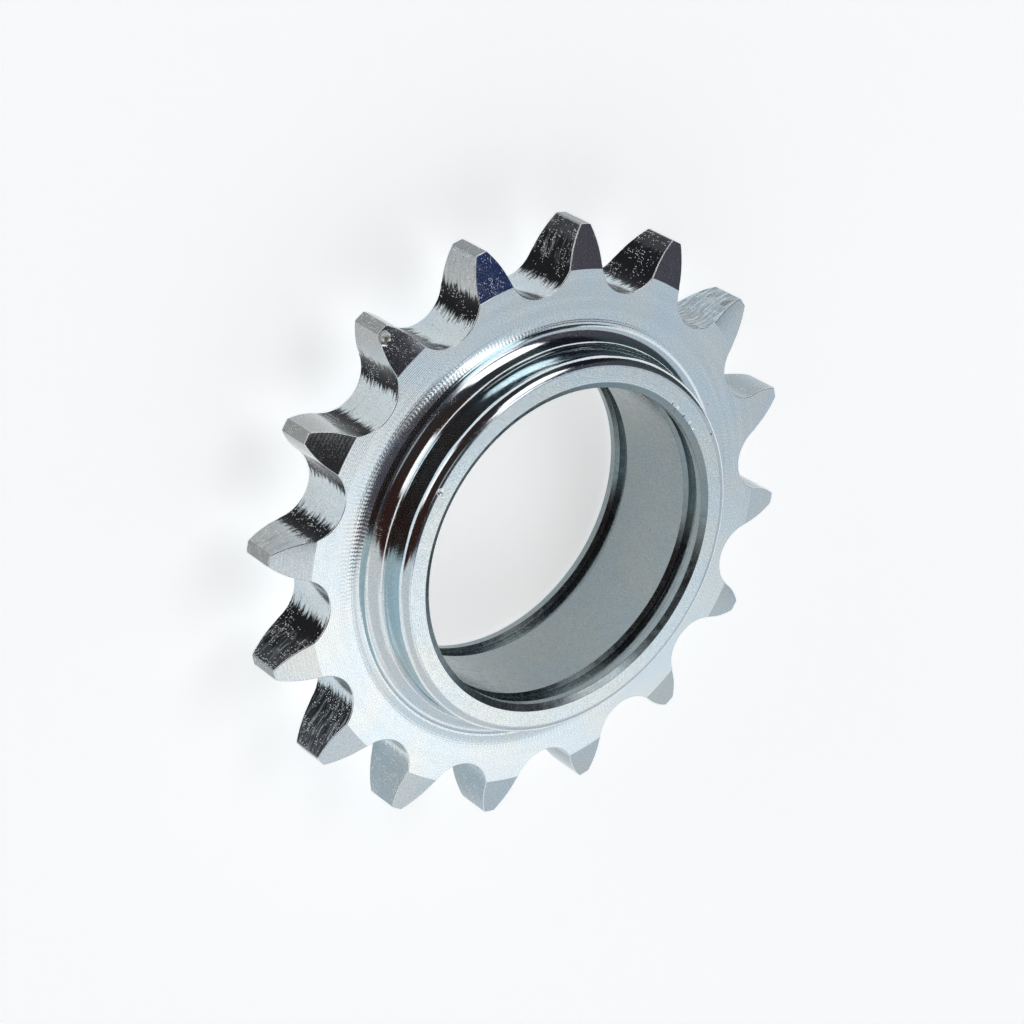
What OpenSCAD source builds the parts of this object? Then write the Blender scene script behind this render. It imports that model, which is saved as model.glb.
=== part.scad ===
// Tensioner sprocket for a roller chain: one steel piece with a hub on both sides and a bearing bore.
// It lies on its rear hub face at Z = 0, turns about Z, and has a tooth on the +X axis.

/* [Chain] */
// Pitch of the chain, pin to pin
chain_pitch = 15.875; // [15.2:0.005:17.5]
// Diameter of the chain's rollers
roller_d = 10.16; // [9.5:0.01:11]
// Number of teeth
tooth_count = 16; // [16:1:24]

/* [Teeth] */
// Length of a tooth from the pitch circle out to its tip
addendum = 3.64; // [2.5:0.01:4.2]
// Width of the tooth ring
tooth_w = 9; // [8:0.1:12]
// Extra radius of a tooth seat over its roller
seat_clearance = 0.2; // [0.05:0.01:0.3]
// Angle of the seat arc that holds a roller
seat_angle = 141.2; // [136:0.1:144]
// Radius of the rounded tooth flank
flank_r = 13.3; // [12:0.1:15]
// Radial length of the relief on the tooth sides
relief_l = 5.9; // [3:0.1:7]
// Depth of the relief on each side at the tip
relief_depth = 1.75; // [0.5:0.05:2.5]

/* [Hub] */
// Diameter of the hub
hub_d = 56; // [53:0.1:58]
// Radius of the hub's rounded outer edges
hub_edge_r = 1.4; // [0.4:0.1:2]
// Radius of the fillet at the foot of the hub
fillet_r = 2.2; // [1.5:0.1:2.4]
// Radial distance from the bottom of the fillet to the sharp edge of the land round it
fillet_rise_l = 0.45; // [0.2:0.05:0.8]
// Radial width of that land
land_w = 0.35; // [0.2:0.05:0.8]
// Height of the land over the side of the tooth ring
land_h = 0.2; // [0.1:0.01:0.3]
// Radius of the shallow sweep from the land down to the ring
sweep_r = 9.1; // [6:0.1:12]

/* [Bearing bore] */
// Outer diameter of the ball bearing that the bore holds
bearing_d = 47; // [42:0.1:48]
// Width of that bearing
bearing_w = 14; // [12:0.1:18]
// Axial play of the bearing between its two retaining rings
bearing_play = 0.1; // [0.05:0.01:0.5]
// Depth of the retaining ring grooves under the bore's wall
groove_depth = 1.25; // [0.8:0.05:1.5]
// Width of a retaining ring groove
groove_w = 1.85; // [1.4:0.05:2.2]
// Chamfer at both edges of a groove
groove_chamfer = 0.5; // [0.2:0.05:0.6]
// Metal left between a groove and the hub face beside it
groove_shoulder = 2; // [1.5:0.1:5]
// Depth of the chamfer at the bore's mouths, along the axis
mouth_chamfer_h = 0.5; // [0.2:0.05:0.8]
// Width of that chamfer, across the hub face
mouth_chamfer_w = 0.9; // [0.3:0.05:1.2]

/* [Wear] */
// Width of the round nick in the front side of one tooth, near its tip
nick_w = 1.9; // [0.5:0.1:2.5]
// Depth of that nick
nick_depth = 0.5; // [0.1:0.05:0.8]
// Distance of the nick's middle from the tip
nick_inset = 0.85; // [0.4:0.05:2]
// Sideways offset of the nick from the middle of its tooth
nick_offset = 0.6; // [-0.8:0.1:0.8]
// Tooth that carries the nick, counted from the +X axis
nick_tooth = 1; // [0:1:14]

/* [Hidden] */
steel = [0.74, 0.78, 0.81];
$fn = 128;
// Radii of the pitch circle, tooth tips, tooth seats, relief edge, hub, bore and grooves
pitch_r = chain_pitch / 2 / sin(180 / tooth_count);
tip_r = pitch_r + addendum;
seat_r = roller_d / 2 + seat_clearance;
relief_r = tip_r - relief_l;
hub_r = hub_d / 2;
bore_r = bearing_d / 2;
groove_r = bore_r + groove_depth;
// Lengths along the axis: the bearing and its two rings set the hub, which is centred on the teeth
bearing_space = bearing_w + bearing_play;
half_hub_l = bearing_space / 2 + groove_w + groove_shoulder;
half_tooth_w = tooth_w / 2;
// Foot of the hub: height of the fillet's centre over the ring, and the radii of its steps
fillet_z = land_h + sqrt(fillet_r * fillet_r - fillet_rise_l * fillet_rise_l);
fillet_centre_r = hub_r + fillet_r;
land_r = fillet_centre_r + fillet_rise_l + land_w;
sweep_end_r = land_r + sqrt(2 * sweep_r * land_h - land_h * land_h);
// Length by which a cutting shape runs past the surface that it cuts
past = 1;
// Overlap of the seat and flank circles, so that they cross where the seat arc ends
arc_overlap = 0.002;

// The sections below have the radius as X and the height over the middle plane of the teeth as Y.
module ring_half_section() {
    polygon([
        [0, -past],
        [tip_r, -past],
        [tip_r, half_tooth_w - relief_depth],
        [relief_r, half_tooth_w],
        [0, half_tooth_w]
    ]);
}

module hub_half_section() {
    square([hub_r, half_hub_l - hub_edge_r]);
    square([hub_r - hub_edge_r, half_hub_l]);
    translate([hub_r - hub_edge_r, half_hub_l - hub_edge_r]) circle(hub_edge_r);
}

// Fillet, narrow land and shallow sweep between the hub and the side of the ring
module foot_half_section() {
    difference() {
        union() {
            square([fillet_centre_r, half_tooth_w + fillet_z]);
            square([sweep_end_r, half_tooth_w + land_h]);
        }
        translate([fillet_centre_r, half_tooth_w + fillet_z]) circle(fillet_r);
        difference() {
            translate([sweep_end_r, half_tooth_w + sweep_r]) circle(sweep_r);
            square([land_r, half_tooth_w + 2 * sweep_r]);
        }
    }
}

// The bore from the middle plane to the mouth: bearing seat, retaining ring groove and mouth chamfer
module bore_half_section() {
    groove_in = bearing_space / 2;
    groove_out = groove_in + groove_w;
    polygon([
        [0, -past],
        [bore_r, -past],
        [bore_r, groove_in - groove_chamfer],
        [bore_r + groove_chamfer, groove_in],
        [groove_r, groove_in],
        [groove_r, groove_out],
        [bore_r + groove_chamfer, groove_out],
        [bore_r, groove_out + groove_chamfer],
        [bore_r, half_hub_l - mouth_chamfer_h],
        [bore_r + mouth_chamfer_w, half_hub_l],
        [bore_r + mouth_chamfer_w, half_hub_l + past],
        [0, half_hub_l + past]
    ]);
}

module both_halves() {
    children();
    mirror([0, 1]) children();
}

module blank() {
    rotate_extrude() difference() {
        both_halves() {
            ring_half_section();
            hub_half_section();
            foot_half_section();
        }
        both_halves() bore_half_section();
    }
}

// One gap between teeth, seen along the axis, with the middle of its roller at the origin.
// The wedge from the sprocket's centre is as wide as one tooth spacing, and two flanks narrow it.
module gap_outline() {
    half_seat = seat_angle / 2;
    flank_x = -(seat_r + flank_r - arc_overlap) * cos(half_seat);
    flank_y = (seat_r + flank_r - arc_overlap) * sin(half_seat);
    wedge_start = -seat_r * cos(half_seat);
    wedge_end = addendum + past;
    wedge_slope = tan(180 / tooth_count);
    circle(seat_r);
    difference() {
        polygon([
            [wedge_start, -(pitch_r + wedge_start) * wedge_slope],
            [wedge_end, -(pitch_r + wedge_end) * wedge_slope],
            [wedge_end, (pitch_r + wedge_end) * wedge_slope],
            [wedge_start, (pitch_r + wedge_start) * wedge_slope]
        ]);
        for (side = [-1, 1]) translate([flank_x, side * flank_y]) circle(flank_r);
    }
}

module tooth_gaps() {
    for (i = [0 : tooth_count - 1])
        rotate((i + 0.5) * 360 / tooth_count)
            translate([pitch_r, 0, -half_tooth_w - past])
                linear_extrude(tooth_w + 2 * past) gap_outline();
}

// A round knock in the relief of one tooth: the part of a ball that dips below the surface there
module nick() {
    ball_r = (nick_w * nick_w / 4 + nick_depth * nick_depth) / (2 * nick_depth);
    surface_z = half_tooth_w - relief_depth * (relief_l - nick_inset) / relief_l;
    rotate(nick_tooth * 360 / tooth_count)
        translate([tip_r - nick_inset, nick_offset, surface_z + ball_r - nick_depth])
            sphere(ball_r);
}

module sprocket() {
    color(steel) translate([0, 0, half_hub_l]) difference() {
        blank();
        tooth_gaps();
        nick();
    }
}

sprocket();
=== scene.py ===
"""The looks of a tensioner sprocket: a steel ring, turned and hobbed, with bright bluish zinc plating.

One detailed mesh stands for the solid. Lengths are in millimetres, with heights counted from the middle
plane of the teeth, until the mesh is made.
"""
import math

import bpy
import numpy as np
from mathutils import Matrix, Vector


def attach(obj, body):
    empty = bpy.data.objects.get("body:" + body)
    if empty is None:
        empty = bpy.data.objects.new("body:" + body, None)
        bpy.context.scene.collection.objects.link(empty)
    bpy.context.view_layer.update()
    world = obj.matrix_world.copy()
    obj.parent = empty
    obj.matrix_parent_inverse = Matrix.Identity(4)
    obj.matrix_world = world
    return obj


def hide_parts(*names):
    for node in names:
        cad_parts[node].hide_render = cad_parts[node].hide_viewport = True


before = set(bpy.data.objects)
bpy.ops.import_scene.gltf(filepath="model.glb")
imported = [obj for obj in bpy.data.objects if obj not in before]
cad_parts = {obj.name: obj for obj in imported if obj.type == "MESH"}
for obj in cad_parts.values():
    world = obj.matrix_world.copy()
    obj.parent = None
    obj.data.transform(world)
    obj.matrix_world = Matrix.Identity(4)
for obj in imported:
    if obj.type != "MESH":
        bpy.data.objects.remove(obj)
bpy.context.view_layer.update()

# Sizes of the part, in millimetres
MM = 0.001
TEETH = 16
SPACING = 2 * math.pi / TEETH
PITCH_R = 15.875 / 2 / math.sin(math.pi / TEETH)
TIP_R = PITCH_R + 3.64
SEAT_R = 10.16 / 2 + 0.2
HALF_SEAT = math.radians(141.2) / 2
FLANK_R = 13.3
HALF_TOOTH_W = 4.5
RELIEF_R = TIP_R - 5.9
RELIEF_SLOPE = 1.75 / 5.9
RELIEF_TILT = math.atan(RELIEF_SLOPE)
HUB_R = 28.0
HUB_EDGE_R = 1.4
FILLET_R = 2.2
FILLET_RISE_L = 0.45
LAND_W = 0.35
LAND_H = 0.2
SWEEP_R = 9.1
BORE_R = 23.5
GROOVE_R = BORE_R + 1.25
GROOVE_IN = 14.1 / 2
GROOVE_OUT = GROOVE_IN + 1.85
GROOVE_CHAMFER = 0.5
HALF_HUB_L = GROOVE_OUT + 2.0
MOUTH_CHAMFER_H = 0.5
MOUTH_CHAMFER_W = 0.9
NICK_W = 1.9
NICK_DEPTH = 0.5
NICK_INSET = 0.85
NICK_OFFSET = 0.6
NICK_TOOTH = 1
NICK_BALL_R = (NICK_W**2 / 4 + NICK_DEPTH**2) / (2 * NICK_DEPTH)

# Fineness of the mesh: small lengths in millimetres, and numbers of points
EDGE_R = 0.12           # rounding of the tooth outline's edges
CORNER_R = 0.26         # rounding of the corners at a tooth tip
CREASE = 0.05           # half width of the small bevel at a turned edge
SMOOTH_JOINT = 0.02     # the same where a line runs on into an arc
RING_R = 33.6           # where the hub's mesh meets the teeth's mesh
RING_STEP = 0.3         # from there to the teeth's first full row
FINE_END_L = 2.3        # the end of a tooth that has closer rows
SWEEP_POINTS = 7
FILLET_POINTS = 14
HUB_EDGE_POINTS = 11
COLUMNS = 20            # across a tooth
SEAT_ROWS = 9
FLANK_ROWS = 9
FINE_ROWS = 16
CORNER_ROWS = 5
FLANK_SAMPLES = 2000    # points that a flank is measured at, to place its rows
ROUNDING_SHARES = (0.3, 0.65, 1.0)
FLANK_SHARES = (0.04, 0.1, 0.2, 0.4, 0.7)

# Marks of use: place (azimuth in degrees, radius, height), half width and depth, in millimetres
MARKS = [
    (45.2, 44.33, 1.0, 0.55, 0.10),
    (43.2, 26.75, 10.85, 0.50, 0.12),
    (303.6, 24.35, 10.80, 0.40, 0.12),
    (300.2, 24.15, 10.70, 0.50, 0.16),
    (296.0, 24.40, 10.85, 0.35, 0.10),
    (291.5, 24.20, 10.75, 0.45, 0.12),
    (289.0, 24.45, 10.90, 0.30, 0.08),
    (282.0, 26.85, 10.87, 0.30, 0.08),
    (280.3, 31.50, 4.62, 0.25, 0.08),
]
MARK_COLUMNS = 9        # extra columns of the hub's mesh at a mark
MARK_COLUMNS_REACH = 1.2
# The metal raised round a mark: its height as a share of the depth, the rest as shares of the half width
RIM_RISE = 0.3
RIM_PLACE = 1.1
RIM_WIDTH = 0.2
RIM_END = 1.6


def unit(vectors):
    """The vectors at length 1."""
    return vectors / np.linalg.norm(vectors, axis=-1, keepdims=True)


def directions(angles):
    """Flat vectors of length 1 at the angles."""
    return np.stack([np.cos(angles), np.sin(angles)], axis=-1)


def turn_of(vector):
    """The angle of a flat vector."""
    return math.atan2(vector[1], vector[0])


def arc(centre, radius, start, end, count, side=1):
    """Points along an arc, and normals that point away from its centre, or towards it when side is -1."""
    out = directions(np.radians(np.linspace(start, end, count)))
    return np.array(centre) + radius * out, side * out


def line(start, end, count=2, trim=CREASE):
    """Points along a line that stop short of its ends, and normals to the right of its direction."""
    start, end = np.array(start, float), np.array(end, float)
    along = unit(end - start)
    points = np.linspace(start + trim * along, end - trim * along, count)
    return points, np.tile([along[1], -along[0]], (count, 1))


def outside_profile():
    """The turned section from the side of the ring, over the hub's foot and wall to the mouth of the bore."""
    fillet_z = HALF_TOOTH_W + LAND_H + math.sqrt(FILLET_R**2 - FILLET_RISE_L**2)
    fillet_centre_r = HUB_R + FILLET_R
    land_in = fillet_centre_r + FILLET_RISE_L
    land_out = land_in + LAND_W
    land_z = HALF_TOOTH_W + LAND_H
    sweep_end = land_out + math.sqrt(2 * SWEEP_R * LAND_H - LAND_H**2)
    sweep_turn = math.degrees(math.asin((sweep_end - land_out) / SWEEP_R))
    rise_turn = math.degrees(math.asin(FILLET_RISE_L / FILLET_R))
    edge_r, edge_z = HUB_R - HUB_EDGE_R, HALF_HUB_L - HUB_EDGE_R
    sweep_centre = [sweep_end, HALF_TOOTH_W + SWEEP_R]
    fillet_centre = [fillet_centre_r, fillet_z]
    return [
        ("plate", line([RING_R, HALF_TOOTH_W], [sweep_end, HALF_TOOTH_W], 3, SMOOTH_JOINT)),
        ("plate", arc(sweep_centre, SWEEP_R, -90, -90 - sweep_turn, SWEEP_POINTS, -1)),
        ("plate", line([land_out, land_z], [land_in, land_z])),
        ("hub", arc(fillet_centre, FILLET_R, rise_turn - 90, -180, FILLET_POINTS, -1)),
        ("hub", line([HUB_R, fillet_z], [HUB_R, edge_z], 3, SMOOTH_JOINT)),
        ("hub", arc([edge_r, edge_z], HUB_EDGE_R, 0, 90, HUB_EDGE_POINTS)),
        ("face", line([edge_r, HALF_HUB_L], [BORE_R + MOUTH_CHAMFER_W, HALF_HUB_L], 5)),
    ]


def bore_profile():
    """The turned section down the bore, from its mouth through the groove to the middle plane."""
    corners = [
        [BORE_R + MOUTH_CHAMFER_W, HALF_HUB_L],
        [BORE_R, HALF_HUB_L - MOUTH_CHAMFER_H],
        [BORE_R, GROOVE_OUT + GROOVE_CHAMFER],
        [BORE_R + GROOVE_CHAMFER, GROOVE_OUT],
        [GROOVE_R, GROOVE_OUT],
        [GROOVE_R, GROOVE_IN],
        [BORE_R + GROOVE_CHAMFER, GROOVE_IN],
        [BORE_R, GROOVE_IN - GROOVE_CHAMFER],
        [BORE_R, 0],
    ]
    counts = [3] + [2] * (len(corners) - 3) + [3]
    return [("bore", line(*ends)) for ends in zip(corners, corners[1:], counts)]


def half_profile():
    """The points of the turned section's upper half, with their normals and finishes."""
    pieces = outside_profile() + bore_profile()
    points = np.concatenate([p for _, (p, _) in pieces])
    normals = np.concatenate([n for _, (_, n) in pieces])
    finishes = [name for name, (p, _) in pieces for _ in p]
    return points, normals, finishes


def face_height(radius):
    """Height of the ring's side: flat, and then falling away in the relief of the teeth."""
    return HALF_TOOTH_W - RELIEF_SLOPE * np.maximum(radius - RELIEF_R, 0)


def face_normals(points):
    """Normals of the ring's upper side."""
    radius = np.linalg.norm(points[..., :2], axis=-1)
    tilt = np.where(radius > RELIEF_R, RELIEF_TILT, 0)
    radial = points[..., :2] / radius[..., None]
    return np.concatenate([radial * np.sin(tilt)[..., None], np.cos(tilt)[..., None]], axis=-1)


def corner_centre(flank_centre, flank_r, tip_r, corner_r):
    """The middle of the tip's corner arc, which touches the flank's and the tip's circles from inside."""
    to_centre = np.linalg.norm(flank_centre)
    near, far = tip_r - corner_r, flank_r - corner_r
    along = (near**2 - far**2 + to_centre**2) / (2 * to_centre)
    across = math.sqrt(near**2 - along**2)
    axis = flank_centre / to_centre
    return along * axis + across * np.array([axis[1], -axis[0]])


def flank_directions(centre, flank_r, start, end):
    """Directions from the flank's centre to its rows, which are even in radius and closer at the tip."""
    angles = np.linspace(turn_of(start - centre), turn_of(end - centre), FLANK_SAMPLES)
    radii = np.linalg.norm(centre + flank_r * directions(angles), axis=1)
    fine_from = TIP_R - FINE_END_L
    rows = np.concatenate([np.linspace(radii[0], fine_from, FLANK_ROWS)[1:],
                           np.linspace(fine_from, radii[-1], FINE_ROWS)[1:]])
    return directions(np.interp(rows, radii, angles))


def tooth_side():
    """One side of a tooth, from the bottom of its gap to the tip, drawn in by the edge rounding.

    Returns polar radii, angles from the tooth's middle line, and normals in the tooth's frame, in which the
    tooth points along +X and this side of it has negative Y.
    """
    outward = -SPACING / 2
    gap = PITCH_R * directions(outward)
    seat_r, flank_r, tip_r = SEAT_R + EDGE_R, FLANK_R - EDGE_R, TIP_R - EDGE_R
    corner_r = CORNER_R - EDGE_R
    # The crease of the relief crosses the seat: its turn from the bottom of the gap to that radius
    to_crease = [math.acos((PITCH_R**2 + seat_r**2 - r**2) / (2 * PITCH_R * seat_r))
                 for r in (RELIEF_R - CREASE, RELIEF_R + CREASE)]
    seat_turns = np.concatenate([np.linspace(0, to_crease[0], SEAT_ROWS), [to_crease[1], HALF_SEAT]])
    seat_out = directions(outward + math.pi - seat_turns)
    seat = gap + seat_r * seat_out
    flank_centre = gap + (SEAT_R + FLANK_R) * seat_out[-1]
    corner = corner_centre(flank_centre, flank_r, tip_r, corner_r)
    corner_start = unit(corner - flank_centre)
    flank_out = flank_directions(flank_centre, flank_r, seat[-1], corner + corner_r * corner_start)
    corner_out = directions(np.linspace(turn_of(corner_start), turn_of(corner), CORNER_ROWS)[1:])
    points = np.concatenate([seat, flank_centre + flank_r * flank_out, corner + corner_r * corner_out])
    normals = np.concatenate([-seat_out, flank_out, corner_out])
    return np.linalg.norm(points, axis=1), np.arctan2(points[:, 1], points[:, 0]), normals


class Surface:
    """Collects points with their normals, and faces with the finish that each has."""

    def __init__(self):
        self.points, self.normals, self.faces, self.finishes = [], [], [], []
        self.count = 0

    def add(self, points, normals):
        """Adds the points, and returns their numbers in an array of the same layout."""
        shape = points.shape[:-1]
        self.points.append(points.reshape(-1, 3))
        self.normals.append(normals.reshape(-1, 3))
        numbers = np.arange(self.count, self.count + math.prod(shape)).reshape(shape)
        self.count += numbers.size
        return numbers

    def quads(self, rows, finish, closed=False):
        """Joins neighbouring rows of points with four-sided faces. finish is one name, or one per strip."""
        for k in range(len(rows) - 1):
            low, high = np.array(rows[k]), np.array(rows[k + 1])
            if closed:
                low, high = np.append(low, low[0]), np.append(high, high[0])
            strip = np.stack([low[:-1], low[1:], high[1:], high[:-1]], axis=1)
            self.faces.append(strip)
            self.finishes += [finish if isinstance(finish, str) else finish[k]] * len(strip)

    def stitch(self, inner, inner_angles, outer, outer_angles, finish):
        """Joins two rings with different numbers of points by triangles, in the order of their angles."""
        i = j = 0
        a, b = len(inner), len(outer)
        faces = []
        while i < a or j < b:
            next_inner = inner_angles[i + 1] if i + 1 < a else inner_angles[0] + 2 * math.pi
            next_outer = outer_angles[j + 1] if j + 1 < b else outer_angles[0] + 2 * math.pi
            if j >= b or (i < a and next_inner <= next_outer):
                faces.append([inner[i % a], inner[(i + 1) % a], outer[j % b]])
                i += 1
            else:
                faces.append([inner[i % a], outer[(j + 1) % b], outer[j % b]])
                j += 1
        self.faces.append(np.array(faces))
        self.finishes += [finish] * len(faces)


def hub_columns():
    """Angles of the hub's columns: evenly spaced, with more of them near the marks on the hub."""
    even = np.arange(TEETH * COLUMNS) * SPACING / COLUMNS
    spread = np.linspace(-MARK_COLUMNS_REACH, MARK_COLUMNS_REACH, MARK_COLUMNS)
    extra = [np.radians(azimuth) + spread * width / radius
             for azimuth, radius, _, width, _ in MARKS if radius < RING_R]
    angles = np.sort(np.concatenate([even] + extra) % (2 * math.pi))
    return angles[np.append(True, np.diff(angles) > 1e-4)]


def build_hub(surface):
    """The turned middle of the part. Returns its outermost rings, above and below, and their angles."""
    points, normals, finishes = half_profile()
    points = np.concatenate([points, points[::-1] * [1, -1]])
    normals = np.concatenate([normals, normals[::-1] * [1, -1]])
    finishes = finishes + finishes[::-1]
    angles = hub_columns()

    def swept(section):
        """The section's radii and heights, carried round the axis."""
        radial = section[:, None, :1] * directions(angles)[None]
        height = np.broadcast_to(section[:, None, 1:], radial.shape[:2] + (1,))
        return np.concatenate([radial, height], axis=-1)

    rows = surface.add(swept(points), swept(normals))
    surface.quads(rows, finishes[1:], closed=True)
    return rows[0], rows[-1], angles


def side_points(radius, angle, flip):
    """Points of the ring's upper side, or of its lower side when flip is -1, and their normals."""
    # On the tilted relief, the edge rounding starts a little further out
    radius = radius + np.where(radius > RELIEF_R, EDGE_R * math.sin(RELIEF_TILT), 0)
    flat = radius[..., None] * directions(angle)
    points = np.concatenate([flat, face_height(radius)[..., None]], axis=-1)
    return points * [1, 1, flip], face_normals(points) * [1, 1, flip]


def build_ring_side(surface, upper):
    """One side of the tooth ring.

    Returns its inner ring with the angles of the points, and its closed boundary with normals that point out
    of the teeth.
    """
    side_r, side_angle, side_normals = tooth_side()
    flip = 1 if upper else -1
    around = np.arange(TEETH * COLUMNS) * SPACING / COLUMNS - SPACING / 2
    full_radii = [RING_R + RING_STEP, (RING_R + side_r[0]) / 2, side_r[0]]
    radius, angle = np.meshgrid(full_radii, around, indexing="ij")
    full = surface.add(*side_points(radius, angle, flip))
    surface.quads(full, "plate", closed=True)
    boundary, boundary_normals = [], []
    crease_row = int(np.searchsorted(side_r, RELIEF_R))
    for tooth in range(TEETH):
        middle = tooth * SPACING
        root = full[-1][(np.arange(COLUMNS + 1) + tooth * COLUMNS) % len(around)]
        angle = middle - side_angle[1:, None] * np.linspace(-1, 1, COLUMNS + 1)
        radius = np.broadcast_to(side_r[1:, None], angle.shape)
        rows = [root] + list(surface.add(*side_points(radius, angle, flip)))
        surface.quads(rows[:crease_row], "plate")
        surface.quads(rows[crease_row - 1:], "relief")
        turn = np.array([[math.cos(middle), math.sin(middle)], [-math.sin(middle), math.cos(middle)]])
        left = side_normals @ turn
        right = (side_normals * [1, -1]) @ turn
        tip = directions(angle[-1])
        boundary += [r[0] for r in rows] + list(rows[-1][1:-1]) + [r[-1] for r in rows[:0:-1]]
        boundary_normals += list(left) + list(tip[1:-1]) + list(right[:0:-1])
    return full[0], around, np.array(boundary), np.array(boundary_normals)


def build_teeth_edge(surface, upper, lower, outward):
    """The rounded edges and the flanks and tips between the two sides' boundaries."""
    points = np.concatenate(surface.points)[upper]
    normals = np.concatenate(surface.normals)[upper]
    level = np.concatenate([outward, np.zeros((len(outward), 1))], axis=1)
    centre = points - EDGE_R * normals
    rounded = []
    for share in ROUNDING_SHARES:
        blend = unit((1 - share) * normals + share * level)
        rounded.append((centre + EDGE_R * blend, blend))
    top, bottom = rounded[-1][0], rounded[-1][0] * [1, 1, -1]
    flank = [(top + (bottom - top) * share, level) for share in FLANK_SHARES]
    mirrored = [(p * [1, 1, -1], n * [1, 1, -1]) for p, n in rounded[::-1]]
    rows = [upper] + [surface.add(p, n) for p, n in rounded + flank + mirrored] + [lower]
    edge = ["edge"] * len(rounded)
    surface.quads(rows, edge + ["flank"] * (len(flank) + 1) + edge, closed=True)


def build_surface():
    """The whole plated surface, still without marks."""
    surface = Surface()
    hub_upper, hub_lower, hub_angles = build_hub(surface)
    ring_upper, around, upper, outward = build_ring_side(surface, True)
    ring_lower, _, lower, _ = build_ring_side(surface, False)
    build_teeth_edge(surface, upper, lower, outward)
    # The ring's angles start half a tooth before the hub's, so they are rolled on to start beside them
    start = int(np.argmax(around > -1e-9))
    angles = np.roll(around % (2 * math.pi), -start)
    for hub_ring, ring in ((hub_upper, ring_upper), (hub_lower, ring_lower)):
        surface.stitch(hub_ring, hub_angles, np.roll(ring, -start), angles, "plate")
    return surface


def press_ball(points, normals, centre, ball_r, direction):
    """Pushes the points inside a ball along a direction until they lie on it. Returns their numbers."""
    away = points - centre
    inside = np.linalg.norm(away, axis=1) < ball_r
    along = away[inside] @ direction
    reach = np.sqrt(ball_r**2 - (away[inside]**2).sum(axis=1) + along**2) - along
    points[inside] += reach[:, None] * direction
    facing_ball = normals[inside] @ direction < -0.5
    pressed = (centre - points[inside]) / ball_r
    normals[inside] = np.where(facing_ball[:, None], pressed, normals[inside])
    return np.flatnonzero(inside)


def press_mark(points, normals, place, width, depth):
    """A small round bruise: a smooth bowl, with the metal that it moved raised a little round it."""
    distance = np.linalg.norm(points - place, axis=1)
    near = distance < RIM_END * width
    share = distance[near] / width
    bowl = depth * np.where(share < 1, (1 - share**2) ** 2, 0)
    rim = RIM_RISE * depth * np.exp(-((share - RIM_PLACE) / RIM_WIDTH) ** 2)
    slope = depth * np.where(share < 1, -4 * share * (1 - share**2), 0) / width
    outward = unit(points[near] - place + 1e-9)
    base = normals[near].copy()
    sideways = outward - base * (outward * base).sum(axis=1, keepdims=True)
    points[near] -= base * (bowl - rim)[:, None]
    normals[near] = unit(base + sideways * slope[:, None])


def press_all_marks(points, normals):
    """The nick and the small marks of use. Returns the numbers of the points in the nick."""
    place = TIP_R - NICK_INSET
    ball = np.array([place, NICK_OFFSET, face_height(place) + NICK_BALL_R - NICK_DEPTH])
    turn = np.array(Matrix.Rotation(NICK_TOOTH * SPACING, 3, "Z"))
    nicked = press_ball(points, normals, turn @ ball, NICK_BALL_R, np.array([0.0, 0.0, -1.0]))
    for azimuth, radius, height, width, depth in MARKS:
        place = np.append(radius * directions(math.radians(azimuth)), height)
        press_mark(points, normals, place, width, depth)
    return nicked


def wound(faces, points, normals):
    """The faces, each in the order that makes its own normal agree with the normals of its points."""
    corners = points[faces]
    own = np.cross(corners[:, 2] - corners[:, 0], corners[:, -1] - corners[:, 1])
    wrong = (own * normals[faces].sum(axis=1)).sum(axis=1) < 0
    faces = faces.copy()
    faces[wrong] = faces[wrong][:, ::-1]
    return faces


def make_sprocket():
    """The sprocket's mesh, with each face's finish as its material."""
    surface = build_surface()
    points = np.concatenate(surface.points)
    normals = np.concatenate(surface.normals)
    nicked = press_all_marks(points, normals)
    points[:, 2] = np.clip(points[:, 2], -HALF_HUB_L, HALF_HUB_L)
    points = (points + [0, 0, HALF_HUB_L]) * MM
    faces = [face for part in surface.faces for face in wound(part, points, normals).tolist()]
    names = list(FINISHES)
    finishes = np.array([names.index(name) for name in surface.finishes])
    is_nicked = np.zeros(len(points), bool)
    is_nicked[nicked] = True
    finishes[[is_nicked[face].all() for face in faces]] = names.index("nick")
    mesh = bpy.data.meshes.new("sprocket_plated")
    mesh.from_pydata(points.tolist(), [], faces)
    for name in names:
        mesh.materials.append(FINISHES[name]())
    mesh.polygons.foreach_set("material_index", finishes.tolist())
    mesh.polygons.foreach_set("use_smooth", [True] * len(mesh.polygons))
    mesh.normals_split_custom_set_from_vertices(normals.tolist())
    mesh.validate()
    piece = bpy.data.objects.new("sprocket_plated", mesh)
    bpy.context.scene.collection.objects.link(piece)
    return piece


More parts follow.
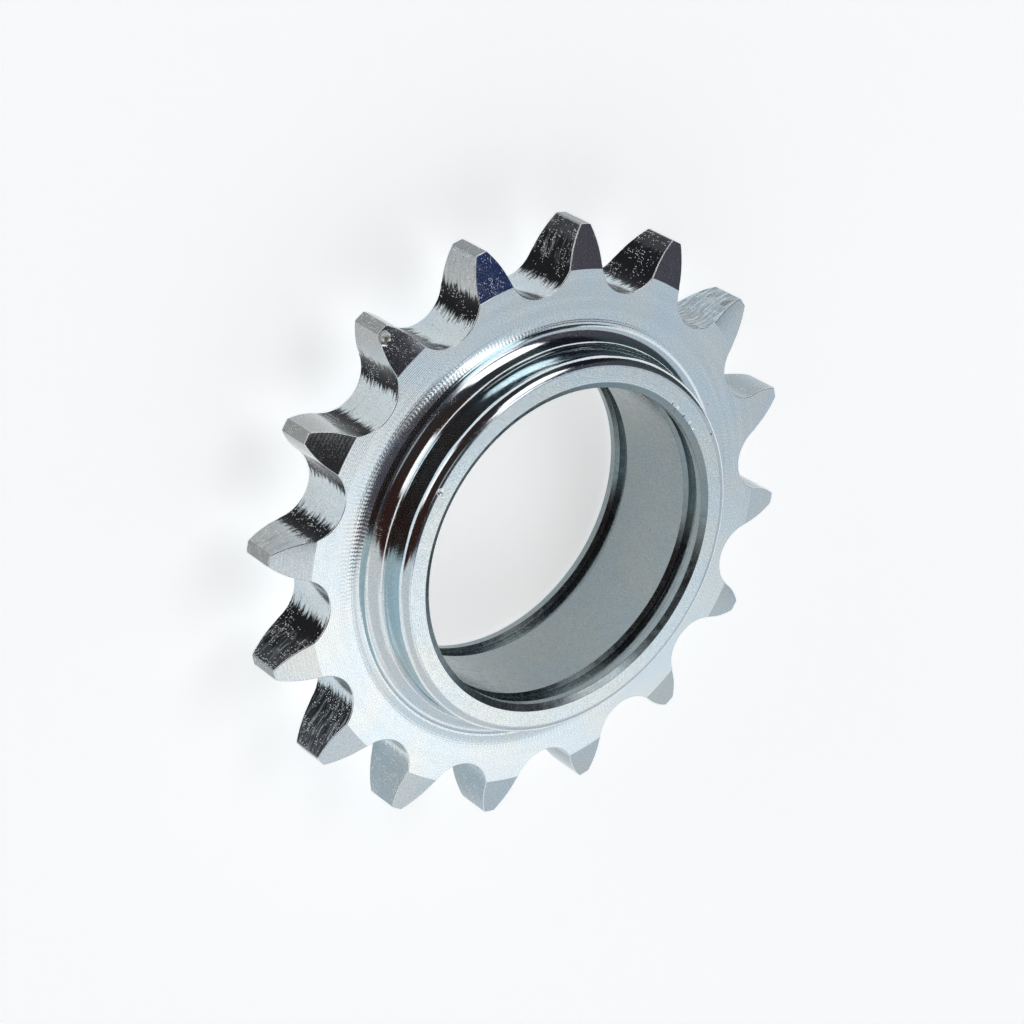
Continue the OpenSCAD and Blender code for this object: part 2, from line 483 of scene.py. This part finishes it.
class Nodes:
    """A short way to write a node tree."""

    def __init__(self, tree):
        self.tree = tree

    def add(self, kind, **settings):
        """A node with its settings. A name that an input has feeds that input."""
        node = self.tree.nodes.new(kind)
        for name, value in settings.items():
            if hasattr(node, name) and name not in node.inputs:
                setattr(node, name, value)
            else:
                self.feed(node.inputs[name], value)
        return node

    def feed(self, socket, value):
        """Links an output to the socket, or sets the socket's own value."""
        if isinstance(value, bpy.types.NodeSocket):
            self.tree.links.new(value, socket)
        else:
            socket.default_value = value

    def feed_all(self, sockets, values):
        """Feeds several sockets in their order."""
        for socket, value in zip(sockets, values):
            self.feed(socket, value)

    def math(self, operation, *values):
        """The result of a sum on numbers."""
        node = self.add("ShaderNodeMath", operation=operation)
        self.feed_all(node.inputs, values)
        return node.outputs[0]

    def spread(self, value, low, high, new_low=0.0, new_high=1.0):
        """A number carried over from one range to another, with smooth ends."""
        node = self.add("ShaderNodeMapRange", interpolation_type="SMOOTHSTEP")
        self.feed_all(node.inputs, (value, low, high, new_low, new_high))
        return node.outputs[0]

    def mix(self, share, first, second, blend="MIX"):
        """A colour between two colours, or another blend of them."""
        node = self.add("ShaderNodeMix", data_type="RGBA", blend_type=blend)
        self.feed_all((node.inputs[0], node.inputs[6], node.inputs[7]), (share, first, second))
        return node.outputs[2]

    def multiply(self, first, second):
        """The product of two colours."""
        return self.mix(1.0, first, second, "MULTIPLY")

    def noise(self, vector, scale, detail, roughness=0.5):
        """Smooth noise from 0 to 1."""
        node = self.add("ShaderNodeTexNoise", Vector=vector, Scale=scale, Detail=detail, Roughness=roughness)
        return node.outputs["Fac"]


# Patterns of the plating. Scales are in waves per millimetre, heights and radii in millimetres.
PATCH_SCALE = 0.12              # bluish and faintly warm patches of the clear passivation
CROWD_SCALE = 0.5               # places with many and with few specks
GLOSS_SCALE = 0.8               # duller and brighter places
GRAIN_SCALE = 3.0               # fine unevenness
SPECK_SCALE = 4.6
CRYSTAL_SCALE = 6.5
LINE_SCALE = 2.2                # uneven tool lines, across their direction
LINE_TURN_SCALE = 3.0           # the same along it, in waves per radian
RIDGE_FADE_SCALE = 0.35         # where the ridges fade, over the scales of the uneven lines
STREAK_SCALES = (0.35, 0.35, 2.4, 1)
UNEVEN_SHARE = 1.2              # height of the uneven lines over that of the even ridges
# Ranges of the noise, from 0 to 1, over which each pattern sets in
PATCH_RANGE = (0.35, 0.65)
CROWD_RANGE = (0.42, 0.64)
GLOSS_RANGE = (0.3, 0.7)
CRYSTAL_RANGE = (0.36, 0.60)
RIDGE_RANGE = (0.35, 0.65)
# Strengths and sizes of the patterns
RIDGE_STRENGTH = (0.35, 1.0)    # where the even ridges fade, and where they are full
ROUGHNESS_SHARES = (0.75, 1.3)  # least and most roughness, as shares of the finish's own
SPECK_EDGE = (0.36, 0.24)       # distance from a speck's middle, from clear of it to inside it
SPECK_CROWD = (0.04, 0.60)      # share of the cells that hold a bright speck, least and most
DULL_LOT = 0.85                 # cells that draw a lot above this hold a dull speck
SPECK_HEIGHT = 0.008
FAINT_SPECKS = 0.15             # specks up to this strength are colour alone
CHATTER_WAVES = 360             # in a full turn
CHATTER_SLANT = 9.0
CHATTER_RISE = (29.0, 30.4)     # radii between which the chatter sets in
CHATTER_FALL = (32.6, 35.5)     # radii between which it fades to the rest
CHATTER_REST = 0.16
BORDER_WANDER = 5.0             # how far streaks move a zone's border, as a multiple of its width
SECTOR_WANDER = 0.6             # the same for a sector's border, as a cosine
SECTOR_SOFT = 0.15
BLUISH = (0.95, 0.99, 1.02, 1)
WARM = (1.02, 1.0, 0.97, 1)
DULL_SPECK = (0.45, 0.47, 0.48, 1)
BRIGHT_SPECK = (0.80, 0.84, 0.86, 1)
DARK_CRYSTAL = (0.84, 0.85, 0.86, 1)
PALE_CRYSTAL = (1.04, 1.04, 1.04, 1)


class PlatingNodes(Nodes):
    """Nodes of the plating's patterns, by the place on the part."""

    def __init__(self, tree):
        super().__init__(tree)
        coordinates = self.add("ShaderNodeTexCoord").outputs["Object"]
        self.place = self.add("ShaderNodeVectorMath", operation="SCALE", Vector=coordinates,
                              Scale=1 / MM).outputs[0]
        self.x, self.y, self.z = self.add("ShaderNodeSeparateXYZ", Vector=self.place).outputs
        squares = [self.math("MULTIPLY", part, part) for part in (self.x, self.y)]
        self.radius = self.math("SQRT", self.math("ADD", *squares))

    def turn(self):
        """The angle about the part's axis."""
        return self.math("ARCTAN2", self.y, self.x)

    def specks(self):
        """Where the bright specks are, and where the dull ones are."""
        cells = self.add("ShaderNodeTexVoronoi", Vector=self.place, Scale=SPECK_SCALE).outputs
        lot = self.add("ShaderNodeSeparateColor", Color=cells["Color"]).outputs[0]
        dot = self.spread(cells["Distance"], *SPECK_EDGE)
        crowd = self.spread(self.noise(self.place, CROWD_SCALE, 1.0), *CROWD_RANGE, *SPECK_CROWD)
        bright = self.math("MULTIPLY", dot, self.math("LESS_THAN", lot, crowd))
        dull = self.math("MULTIPLY", dot, self.math("GREATER_THAN", lot, DULL_LOT))
        return bright, dull

    def tool_lines(self, line_height, line_pitch, chatter):
        """Height of the tool's lines: even ridges that fade in and out, and finer uneven ones."""
        across = self.math("ADD", self.radius, self.z)
        ridge = self.math("COSINE", self.math("MULTIPLY", across, 2 * math.pi / line_pitch))
        east, north = [self.math("MULTIPLY", self.math("DIVIDE", part, self.radius), LINE_TURN_SCALE)
                       for part in (self.x, self.y)]
        swirl = self.add("ShaderNodeCombineXYZ", X=self.math("MULTIPLY", across, LINE_SCALE),
                         Y=east, Z=north).outputs[0]
        uneven = self.noise(swirl, 1.0, 2.0, 0.6)
        strength = self.spread(self.noise(swirl, RIDGE_FADE_SCALE, 0.0), *RIDGE_RANGE, *RIDGE_STRENGTH)
        lines = self.math("ADD", self.math("MULTIPLY", ridge, strength),
                          self.math("MULTIPLY", uneven, UNEVEN_SHARE))
        height = self.math("MULTIPLY", lines, line_height)
        if chatter:
            height = self.math("ADD", height, self.chatter_waves(chatter, uneven, strength))
        return height

    def chatter_waves(self, chatter, uneven, strength):
        """Height of the short slanting waves round the foot of the hub."""
        around = self.math("MULTIPLY", self.turn(), CHATTER_WAVES)
        wave = self.math("SINE", self.math("ADD", around, self.math("MULTIPLY", uneven, CHATTER_SLANT)))
        reach = self.math("MULTIPLY", self.spread(self.radius, *CHATTER_RISE, 0.0, chatter),
                          self.spread(self.radius, *CHATTER_FALL, 1.0, CHATTER_REST))
        return self.math("MULTIPLY", wave, self.math("MULTIPLY", reach, strength))

    def zoned(self, tint, zones):
        """The tint, with each zone's own tint laid over it. Streaks move the zones' borders."""
        colour = [*tint, 1]
        if not zones:
            return colour
        streaks = self.noise(self.multiply(self.place, STREAK_SCALES), 1.0, 4.0, 0.7)
        wander = self.math("SUBTRACT", streaks, 0.5)
        for start, end, zone_tint, sector in zones:
            reach = self.math("MULTIPLY", wander, BORDER_WANDER * (end - start))
            share = self.spread(self.math("ADD", self.radius, reach), start, end)
            if sector:
                share = self.math("MULTIPLY", share, self.in_sector(sector, wander))
            colour = self.mix(share, colour, [*zone_tint, 1])
        return colour

    def in_sector(self, sector, wander):
        """1 in a sector (middle, half width) of the ring, in degrees, and 0 outside it."""
        middle, half = [math.radians(angle) for angle in sector]
        apart = self.math("COSINE", self.math("SUBTRACT", self.turn(), middle))
        moved = self.math("ADD", apart, self.math("MULTIPLY", wander, SECTOR_WANDER))
        return self.spread(moved, math.cos(half) - SECTOR_SOFT, math.cos(half) + SECTOR_SOFT)

    def weathered(self, colour, speckle, bright, dull):
        """The colour with the passivation's patches, the specks and the zinc's small crystals."""
        patch = self.spread(self.noise(self.place, PATCH_SCALE, 1.0), *PATCH_RANGE)
        shift = self.mix(self.math("MULTIPLY", dull, speckle), self.mix(patch, BLUISH, WARM), DULL_SPECK)
        colour = self.multiply(colour, shift)
        colour = self.mix(self.math("MULTIPLY", bright, speckle), colour, BRIGHT_SPECK)
        crystals = self.spread(self.noise(self.place, CRYSTAL_SCALE, 1.0, 0.6), *CRYSTAL_RANGE)
        return self.multiply(colour, self.mix(crystals, DARK_CRYSTAL, PALE_CRYSTAL))


def plated(name, tint, roughness, grain_height, speckle, line_height=0.0, line_pitch=0.3, anisotropy=0.0,
           zones=(), chatter=0.0):
    """Zinc plating over a machined surface.

    grain_height is the fine unevenness, and line_height and line_pitch are those of the tool's even lines,
    all in millimetres.
    speckle is the strength of small bright and dull specks, and anisotropy how far lines stretch highlights.
    Each zone (start, end, tint, sector) changes the colour over to its own tint between those two radii. A
    sector (middle, half width), in degrees, keeps it to that part of the ring.
    chatter is the height of the short waves that the tool left round the foot of the hub, over its lines.
    """
    material = bpy.data.materials.new(name)
    material.use_nodes = True
    nodes = PlatingNodes(material.node_tree)
    shader = material.node_tree.nodes["Principled BSDF"]
    bright, dull = nodes.specks()
    height = nodes.math("MULTIPLY", nodes.noise(nodes.place, GRAIN_SCALE, 3.0, 0.65), grain_height)
    if line_height:
        height = nodes.math("ADD", height, nodes.tool_lines(line_height, line_pitch, chatter))
    if speckle > FAINT_SPECKS:
        height = nodes.math("ADD", height, nodes.math("MULTIPLY", bright, speckle * SPECK_HEIGHT))
    bump = nodes.add("ShaderNodeBump", Strength=1.0, Distance=MM, Height=height)
    gloss = nodes.noise(nodes.place, GLOSS_SCALE, 3.0, 0.65)
    roughnesses = [share * roughness for share in ROUGHNESS_SHARES]
    tangent = nodes.add("ShaderNodeTangent", direction_type="RADIAL", axis="Z")
    colour = nodes.weathered(nodes.zoned(tint, zones), speckle, bright, dull)
    nodes.feed(shader.inputs["Base Color"], colour)
    nodes.feed(shader.inputs["Roughness"], nodes.spread(gloss, *GLOSS_RANGE, *roughnesses))
    nodes.feed(shader.inputs["Normal"], bump.outputs[0])
    nodes.feed(shader.inputs["Tangent"], tangent.outputs[0])
    shader.inputs["Metallic"].default_value = 1.0
    shader.inputs["Anisotropic"].default_value = anisotropy
    return material


def plate_finish():
    """The faced sides of the ring: fine lathe lines, and chatter round the hub's foot."""
    return plated("zinc_faced", tint=(0.90, 0.93, 0.94), roughness=0.095, line_height=0.0016, line_pitch=0.31,
                  grain_height=0.0055, speckle=0.10, anisotropy=0.3, chatter=0.0020)


def face_finish():
    """The end faces of the hub: faced as well, and rubbed by use."""
    return plated("zinc_end", tint=(0.90, 0.93, 0.93), roughness=0.13, line_height=0.0014, line_pitch=0.31,
                  grain_height=0.0100, speckle=0.35, anisotropy=0.2)


def hub_finish():
    """The hub's outside and its fillet: almost polished, and bluish on the straight wall."""
    silver, bluish = (0.80, 0.83, 0.85), (0.56, 0.72, 0.78)
    zones = ((HUB_R - 0.07, HUB_R - 0.03, bluish, None),
             (HUB_R + 0.02, HUB_R + 0.10, silver, None))
    return plated("zinc_hub", tint=silver, roughness=0.08, line_height=0.0010, line_pitch=0.30,
                  grain_height=0.0026, speckle=0.30, anisotropy=0.2, zones=zones)


def relief_finish():
    """The relief of the teeth: bright, with few specks."""
    return plated("zinc_relief", tint=(0.86, 0.87, 0.87), roughness=0.07, line_height=0.0010, line_pitch=0.37,
                  grain_height=0.0026, speckle=0.30, anisotropy=0.2)


def flank_finish():
    """The hobbed flanks: bright specks, with painted reflections between the seats and the tips.

    A painted near-black reflection lies on the flanks of one half of the ring and a painted mid grey one on
    the other half. A painted light reflection lies on the outer flanks of a few teeth. The tips are a plain
    grey all round.
    """
    # Colours of the flanks' painted reflections (near-black, dark, mid grey and light grey), and a plain grey
    # for the tips
    painted_dark_reflection, painted_outer_dark_reflection, painted_grey_reflection = (0.012, 0.012, 0.014), (0.050, 0.050, 0.054), (0.34, 0.41, 0.45)
    painted_light_reflection, tip = (0.46, 0.48, 0.49), (0.30, 0.31, 0.31)
    painted_dark_sector, painted_grey_sector, painted_light_sector = (27, 88), (207, 88), (34, 43)
    # Painted reflections: near-black from the seats outward on one half of the ring, mid grey on the other
    # half
    zones = ((35.9, 36.5, painted_dark_reflection, painted_dark_sector),
             (36.5, 37.1, painted_grey_reflection, painted_grey_sector),
             (41.6, 42.3, painted_outer_dark_reflection, painted_dark_sector),
             # A painted light reflection on the outer flanks of the teeth within this sector
             (38.8, 39.8, painted_light_reflection, painted_light_sector),
             (44.15, 44.20, tip, None))
    return plated("zinc_flank", tint=(0.62, 0.69, 0.72), roughness=0.14, grain_height=0.010, speckle=0.9,
                  zones=zones)


def edge_finish():
    """The thin rounded edges of the teeth, rubbed bright."""
    return plated("zinc_edge", tint=(0.86, 0.88, 0.90), roughness=0.20, grain_height=0.015, speckle=0.9)


def bore_finish():
    """The bearing seat and its grooves: a satin coat."""
    return plated("zinc_bore", tint=(0.35, 0.40, 0.41), roughness=0.24, line_height=0.0012, line_pitch=0.35,
                  grain_height=0.003, speckle=0.1, anisotropy=0.2)


def nick_finish():
    """The bottom of the nick in one tooth: dull, pressed metal."""
    return plated("zinc_nick", tint=(0.78, 0.76, 0.73), roughness=0.42, grain_height=0.060, speckle=0.6)


FINISHES = {
    "plate": plate_finish,
    "face": face_finish,
    "hub": hub_finish,
    "relief": relief_finish,
    "flank": flank_finish,
    "edge": edge_finish,
    "bore": bore_finish,
    "nick": nick_finish,
}

# The camera of the photograph: it looks down on the part from above one side, turned about its own axis
CAMERA_AIM = Vector((-0.505, -0.578, 7.127)) * MM
CAMERA_AZIMUTH = math.radians(37.601)
CAMERA_ELEVATION = math.radians(46.014)
CAMERA_DISTANCE = 436.76 * MM
CAMERA_ROLL = math.radians(121.642)
CAMERA_LENS = 108.65
CAMERA_SENSOR = 36.0


def make_camera():
    """The camera at the photograph's place."""
    data = bpy.data.cameras.new("camera")
    data.sensor_width = CAMERA_SENSOR
    data.lens = CAMERA_LENS
    data.clip_start, data.clip_end = 0.01, 100
    camera = bpy.data.objects.new("camera", data)
    bpy.context.scene.collection.objects.link(camera)
    back = Vector((math.cos(CAMERA_ELEVATION) * math.cos(CAMERA_AZIMUTH),
                   math.cos(CAMERA_ELEVATION) * math.sin(CAMERA_AZIMUTH), math.sin(CAMERA_ELEVATION)))
    upright = (-back).to_track_quat("-Z", "Y").to_matrix()
    turn = upright @ Matrix.Rotation(CAMERA_ROLL, 3, "Z")
    camera.matrix_world = Matrix.Translation(CAMERA_AIM + back * CAMERA_DISTANCE) @ turn.to_4x4()
    bpy.context.scene.camera = camera


# The floor, in metres, how pale it is, and the paleness that it has without light
FLOOR_HALF = 8.0
FLOOR_DROP = 0.00002
FLOOR_PALE = 0.90
FLOOR_GLOW = 0.58


def floor_material():
    """A plain pale colour that glows a little wherever it is seen, in mirrors too."""
    material = bpy.data.materials.new("floor")
    material.use_nodes = True
    nodes = Nodes(material.node_tree)
    shader = material.node_tree.nodes["Principled BSDF"]
    shader.inputs["Base Color"].default_value = (FLOOR_PALE, FLOOR_PALE, FLOOR_PALE, 1)
    shader.inputs["Roughness"].default_value = 0.9
    shader.inputs["Specular IOR Level"].default_value = 0.0
    shader.inputs["Emission Color"].default_value = (1, 1, 1, 1)
    path = nodes.add("ShaderNodeLightPath").outputs
    seen = nodes.math("ADD", path["Is Camera Ray"], path["Is Glossy Ray"])
    seen = nodes.math("MINIMUM", nodes.math("ADD", seen, path["Is Transmission Ray"]), 1.0)
    nodes.feed(shader.inputs["Emission Strength"], nodes.math("MULTIPLY", seen, FLOOR_GLOW))
    material.cycles.emission_sampling = "NONE"
    return material


def make_floor():
    """A wide plain pale floor under the part, which keeps the part's soft shadow."""
    mesh = bpy.data.meshes.new("floor")
    corners = [(x * FLOOR_HALF, y * FLOOR_HALF, -FLOOR_DROP) for x, y in ((-1, -1), (1, -1), (1, 1), (-1, 1))]
    mesh.from_pydata(corners, [], [(0, 1, 2, 3)])
    mesh.materials.append(floor_material())
    floor = bpy.data.objects.new("floor", mesh)
    bpy.context.scene.collection.objects.link(floor)


# The studio, seen from the part. Directions are azimuths and elevations in degrees, colours linear light.
FULL_TURN = 360.0
ZENITH = 90.0
BELOW = -60.0       # under the floor's horizon
# Bends (azimuth, elevation) of the tall pale wall's upper edge, and of the long light's two edges
WALL_TOP = [(84, 30), (92, 48), (104, 58), (120, 68), (140, 71), (175, 70), (192, 65), (206, 57), (222, 51)]
LIGHT_TOP = [(218, 52), (226, 59), (236, 65), (250, 70), (270, 74), (312, 74), (326, 68), (338, 60),
             (350, 46)]
LIGHT_LOW = [(218, 54), (240, 60), (278, 60), (292, 52), (308, 40), (322, 37), (334, 42), (350, 50)]
ROOM_BROWNS = (0.034, 0.024, 0.022, 1), (0.034, 0.015, 0.012, 1)
ROOM_TEALS = (0.040, 0.065, 0.070, 1), (0.070, 0.066, 0.082, 1)
ROOM_BLACK = (0.010, 0.012, 0.020, 1)
ROOM_GREY = (0.030, 0.032, 0.038, 1)
ROOM_TOP = (0.022, 0.022, 0.024, 1)
CEILING = (0.34, 0.37, 0.39, 1)
WALL_PALES = (0.62, 0.66, 0.68, 1), (0.62, 0.69, 0.74, 1)
FAR_WALL = (0.49, 0.56, 0.62, 1)
LONG_LIGHT = (1.7, 1.7, 1.72, 1)
SMALL_LIGHT = (1.5, 1.5, 1.5, 1)
BLUE_GAP = (0.02, 0.035, 0.10, 1)
# Ranges of azimuth or elevation over which one colour changes to the next
BROWN_SHIFT = (40.0, 75.0)
TEAL_SHIFT = (18.0, 38.0)
BROWN_TO_TEAL = (90.0, 240.0)
BLACK_PART = (287.0, 316.0)
GREY_FROM = (316.0, 350.0)
TOP_FROM = (72.0, 82.0)
CEILING_FROM = (81.0, 85.0)
WALL_SHIFT = (110.0, 230.0)
# Patches of the wall: azimuths, elevations, softness of the border, colour
WALL_PATCHES = [
    ((166.0, 192.0), (48.0, 68.0), 6.0, (0.94, 0.95, 0.94, 1)),
    ((201.0, 216.0), (41.0, 64.0), 5.0, (1.06, 1.09, 1.10, 1)),
    ((104.0, 140.0), (-40.0, 14.0), 7.0, (0.85, 0.92, 0.95, 1)),
    ((187.0, 240.0), (BELOW, 27.0), 6.0, (0.48, 0.55, 0.60, 1)),
]


class StudioNodes(Nodes):
    """Nodes of the studio's colours, by the azimuth and elevation of a direction."""

    def __init__(self, tree):
        super().__init__(tree)
        direction = self.add("ShaderNodeTexCoord").outputs["Generated"]
        x, y, z = self.add("ShaderNodeSeparateXYZ", Vector=direction).outputs
        self.azimuth = self.math("WRAP", self.math("DEGREES", self.math("ARCTAN2", y, x)), FULL_TURN, 0.0)
        self.elevation = self.math("DEGREES", self.math("ARCSINE", z))

    def edge(self, bends):
        """The elevation of an edge at each azimuth."""
        node = self.add("ShaderNodeFloatCurve", Value=self.math("DIVIDE", self.azimuth, FULL_TURN))
        curve = node.mapping.curves[0]
        curve.points[0].location = (0, bends[0][1] / ZENITH)
        curve.points[1].location = (1, bends[-1][1] / ZENITH)
        for azimuth, elevation in bends:
            curve.points.new(azimuth / FULL_TURN, elevation / ZENITH)
        node.mapping.update()
        return self.math("MULTIPLY", node.outputs[0], ZENITH)

    def between(self, value, ends, soft):
        """1 between the two ends, with soft borders."""
        above = self.spread(self.math("SUBTRACT", value, ends[0]), -soft, soft)
        below = self.spread(self.math("SUBTRACT", ends[1], value), -soft, soft)
        return self.math("MULTIPLY", above, below)

    def patched(self, colour, patches):
        """The colour, with the patches laid over it one after another."""
        for azimuths, elevations, soft, patch in patches:
            share = self.math("MULTIPLY", self.between(self.azimuth, azimuths, soft),
                              self.between(self.elevation, elevations, soft))
            colour = self.mix(share, colour, patch)
        return colour

    def room(self):
        """The dim room: brown, then teal, then nearly black and grey, and dark above."""
        brown = self.mix(self.spread(self.azimuth, *BROWN_SHIFT), *ROOM_BROWNS)
        teal = self.mix(self.spread(self.elevation, *TEAL_SHIFT), *ROOM_TEALS)
        room = self.mix(self.spread(self.azimuth, *BROWN_TO_TEAL), brown, teal)
        room = self.mix(self.between(self.azimuth, BLACK_PART, 6.0), room, ROOM_BLACK)
        room = self.mix(self.spread(self.azimuth, *GREY_FROM), room, ROOM_GREY)
        return self.mix(self.spread(self.elevation, *TOP_FROM), room, ROOM_TOP)

    def wall(self):
        """The tall pale wall, with brighter and dimmer patches."""
        plain = self.mix(self.spread(self.azimuth, *WALL_SHIFT), *WALL_PALES)
        return self.patched(plain, WALL_PATCHES)


def make_world():
    """A dim room with a tall pale wall on one side, a long soft light above it and a small one opposite."""
    world = bpy.data.worlds.new("studio")
    bpy.context.scene.world = world
    world.use_nodes = True
    nodes = StudioNodes(world.node_tree)
    colour = nodes.patched(nodes.room(), [
        ((90.0, 222.0), (BELOW, nodes.edge(WALL_TOP)), 2.5, nodes.wall()),
        ((222.0, 247.0), (BELOW, 60.5), 2.5, FAR_WALL),
        ((220.0, 347.0), (nodes.edge(LIGHT_LOW), nodes.edge(LIGHT_TOP)), 2.0, LONG_LIGHT),
        ((260.0, 278.0), (56.0, 71.0), 2.5, BLUE_GAP),
        ((26.0, 56.0), (-40.0, 18.0), 4.0, SMALL_LIGHT),
    ])
    # A small pale ceiling, for views from straight above
    colour = nodes.mix(nodes.spread(nodes.elevation, *CEILING_FROM), colour, CEILING)
    background = world.node_tree.nodes["Background"]
    nodes.feed(background.inputs["Color"], colour)
    background.inputs["Strength"].default_value = 1.0
    # Sampling the many patches as lamps would take most of the render's time
    world.cycles.sampling_method = "NONE"


sprocket = make_sprocket()
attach(sprocket, "root")
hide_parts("sprocket")
make_floor()
make_world()
make_camera()
bpy.context.scene.view_settings.view_transform = "Standard"
